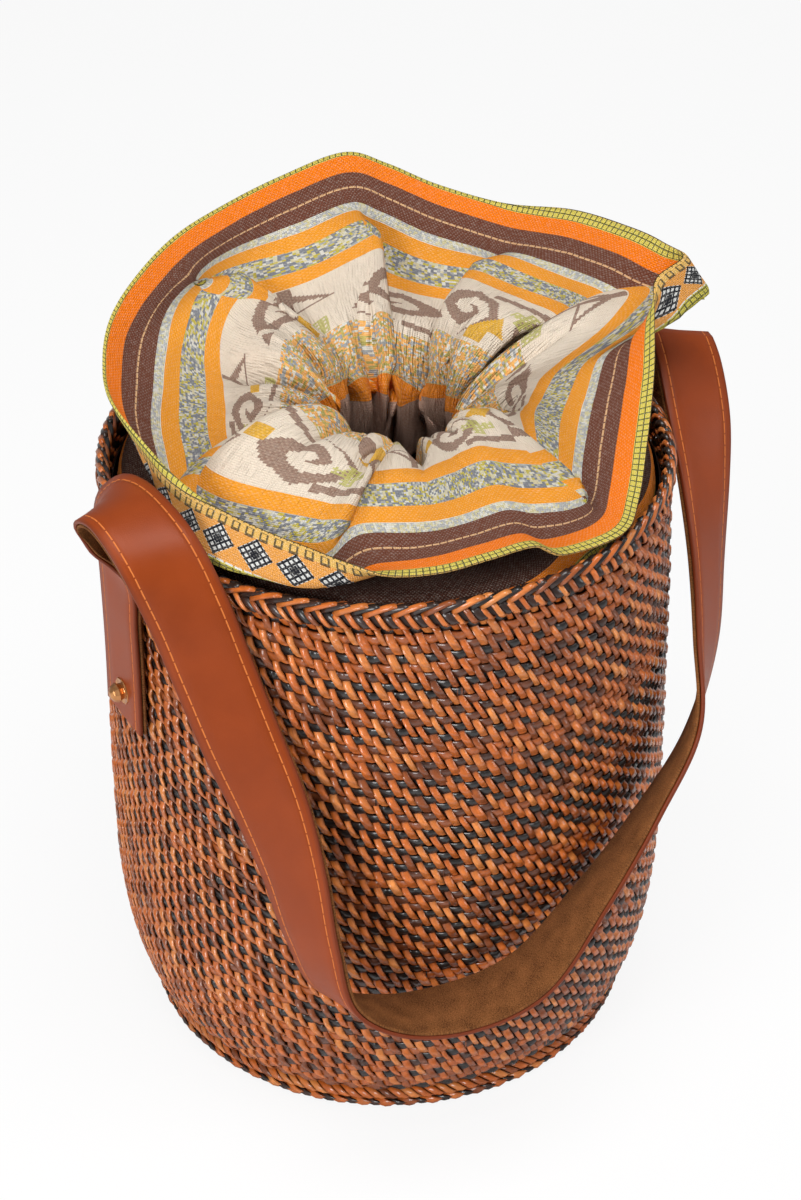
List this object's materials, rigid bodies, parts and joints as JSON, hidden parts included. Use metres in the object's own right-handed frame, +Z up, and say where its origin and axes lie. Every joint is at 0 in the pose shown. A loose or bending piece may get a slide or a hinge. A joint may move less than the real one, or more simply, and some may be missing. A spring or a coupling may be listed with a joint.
{
  "type": "round woven bag",
  "caption": "Round woven rattan bucket bag with a gathered printed cloth collar and a long leather shoulder strap riveted to its two sides.",
  "frame": {"origin": "middle of the woven floor's underside, on the ground", "axes": "+Z up along the basket's axis, +X towards the right end of the strap, -Y towards the front, where the strap hangs"},
  "size_m": [0.278, 0.264, 0.3299],
  "materials": {
    "rattan": "lacquered, glossy",
    "dark_rattan": "lacquered, dark stained",
    "printed_cloth": "coarse printed linen",
    "brown_cloth": "coarse linen, dark brown",
    "leather": "smooth, lightly glazed",
    "suede": "rough flesh side",
    "brass": "polished, facetted",
    "elastic": "woven elastic band"
  },
  "bodies": {
    "root": {"basket_wall": "rattan", "rim_border": "rattan", "foot_wrap": "rattan", "foot_plait": "dark_rattan", "woven_floor": "dark_rattan", "lining_floor": "brown_cloth", "lining_wall": "brown_cloth", "collar_sleeve": "brown_cloth", "neck_casing": "printed_cloth", "neck_elastic": "elastic", "collar": "printed_cloth", "left_end_outer_ply": "leather", "left_end_inner_ply": "suede", "right_end_outer_ply": "leather", "right_end_inner_ply": "suede", "left_rivet": "brass", "left_rivet_cap": "brass", "right_rivet": "brass", "right_rivet_cap": "brass"},
    "strap": {"strap_outer_ply": "leather", "strap_inner_ply": "suede"}
  },
  "joints": [
    {"name": "strap_swing", "type": "hinge", "parent": "root", "child": "strap", "pos_m": [0, -0.015, 0.279], "axis": [-1, 0, 0], "range_deg": [0, 150]}
  ]
}
